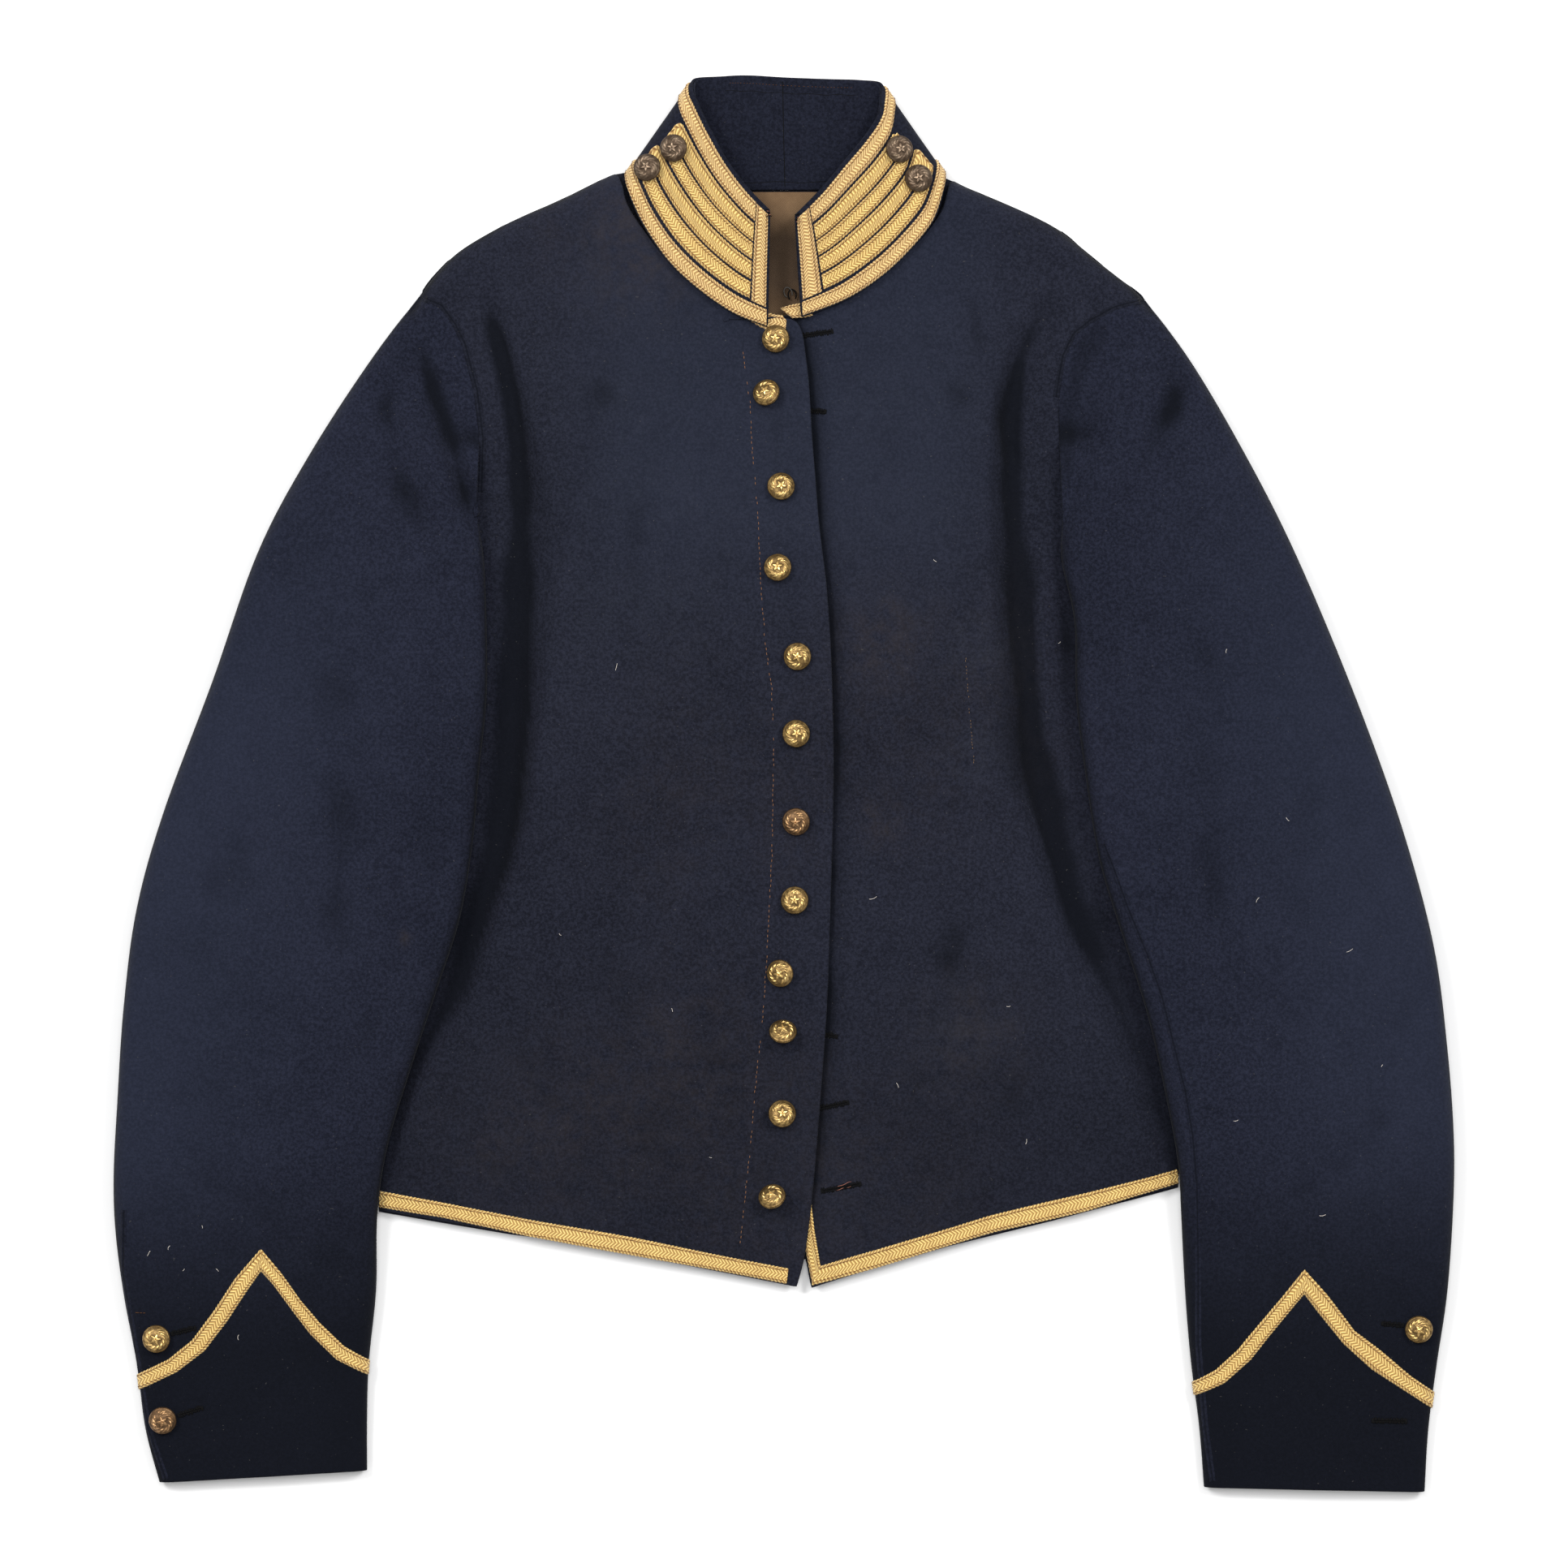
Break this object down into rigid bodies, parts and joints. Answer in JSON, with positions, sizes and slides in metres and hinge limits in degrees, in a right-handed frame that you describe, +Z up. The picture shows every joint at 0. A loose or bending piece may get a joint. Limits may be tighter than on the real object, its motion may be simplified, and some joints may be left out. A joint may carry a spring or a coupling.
{
  "type": "mounted services jacket",
  "caption": "Short navy wool shell jacket laid flat, with standing collar, yellow lace edging, pointed cuff lace and a row of domed brass buttons.",
  "frame": {"origin": "centre of the jacket's outline, on the surface that it lies on", "axes": "+Y towards the collar, +X towards the wearer's left, +Z up through the front"},
  "size_m": [0.7183, 0.7592, 0.0301],
  "materials": {
    "navy_wool": "fulled wool with a short nap",
    "yellow_lace": "worsted herringbone lace",
    "tan_lining": "plain woven lining",
    "brass": "worn gilt brass",
    "dull_brass": "browned brass"
  },
  "bodies": {
    "root": {"back": "navy_wool", "button_collar_1": "dull_brass", "button_collar_2": "dull_brass", "button_collar_3": "dull_brass", "button_collar_4": "dull_brass", "button_cuff_left_1": "brass", "button_cuff_right_1": "brass", "button_cuff_right_2": "brass", "button_front_1": "brass", "button_front_10": "brass", "button_front_11": "brass", "button_front_12": "brass", "button_front_2": "brass", "button_front_3": "brass", "button_front_4": "brass", "button_front_5": "brass", "button_front_6": "brass", "button_front_7": "brass", "button_front_8": "brass", "button_front_9": "brass", "collar_facing": "navy_wool", "collar_outer": "navy_wool", "front_left": "navy_wool", "front_right": "navy_wool", "lace_collar_base": "yellow_lace", "lace_collar_front_left": "yellow_lace", "lace_collar_front_right": "yellow_lace", "lace_collar_loop_lower_left": "yellow_lace", "lace_collar_loop_lower_right": "yellow_lace", "lace_collar_loop_upper_left": "yellow_lace", "lace_collar_loop_upper_right": "yellow_lace", "lace_collar_top": "yellow_lace", "lace_cuff_left": "yellow_lace", "lace_cuff_right": "yellow_lace", "lace_front_edge": "yellow_lace", "lace_hem_left": "yellow_lace", "lace_hem_right": "yellow_lace", "neck_lining": "tan_lining", "topsleeve_left": "navy_wool", "topsleeve_right": "navy_wool", "undersleeve_left": "navy_wool", "undersleeve_right": "navy_wool"}
  },
  "joints": []
}
